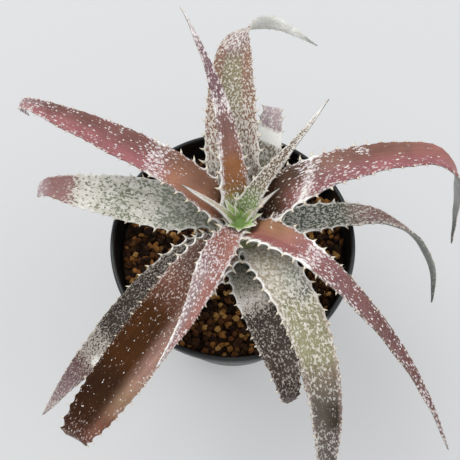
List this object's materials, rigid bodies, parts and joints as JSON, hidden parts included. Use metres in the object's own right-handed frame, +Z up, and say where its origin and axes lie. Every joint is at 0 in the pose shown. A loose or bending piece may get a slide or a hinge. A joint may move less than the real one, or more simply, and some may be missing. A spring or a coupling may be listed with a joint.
{
  "type": "potted orthophytum hybrid",
  "caption": "Spiny bromeliad rosette with long channelled, recurved, white-flecked leaves, growing in granular soil in a round black nursery pot.",
  "frame": {"origin": "middle of the pot's flat underside, where it stands", "axes": "+Z up along the pot's axis; +Y away from the viewer of the picture, towards the tall back leaves; +X to the picture's right"},
  "size_m": [0.1632, 0.1766, 0.1111],
  "materials": {
    "pot_plastic": "satin",
    "clay_granules": "matte",
    "crown_sheath": "matte",
    "heart_green": "satin",
    "leaf_rose": "satin",
    "leaf_brown": "satin",
    "leaf_silver": "satin",
    "leaf_dark": "satin",
    "young_spike": "matte"
  },
  "bodies": {
    "root": {"pot": "pot_plastic", "soil": "clay_granules", "crown": "crown_sheath", "heart_leaves": "heart_green", "spike_left": "young_spike", "spike_right": "young_spike", "leaf_back_slim": "leaf_silver", "leaf_back_tall": "leaf_rose", "leaf_front_rose": "leaf_rose", "leaf_right_long": "leaf_rose", "leaf_left_long": "leaf_rose", "leaf_right_arched": "leaf_rose", "leaf_back_curled": "leaf_silver", "leaf_front_broad": "leaf_brown", "leaf_front_olive": "leaf_silver", "leaf_left_silver": "leaf_silver", "leaf_right_low": "leaf_silver", "leaf_back_short": "leaf_silver", "leaf_front_dark": "leaf_dark", "leaf_left_narrow": "leaf_dark"}
  },
  "joints": []
}
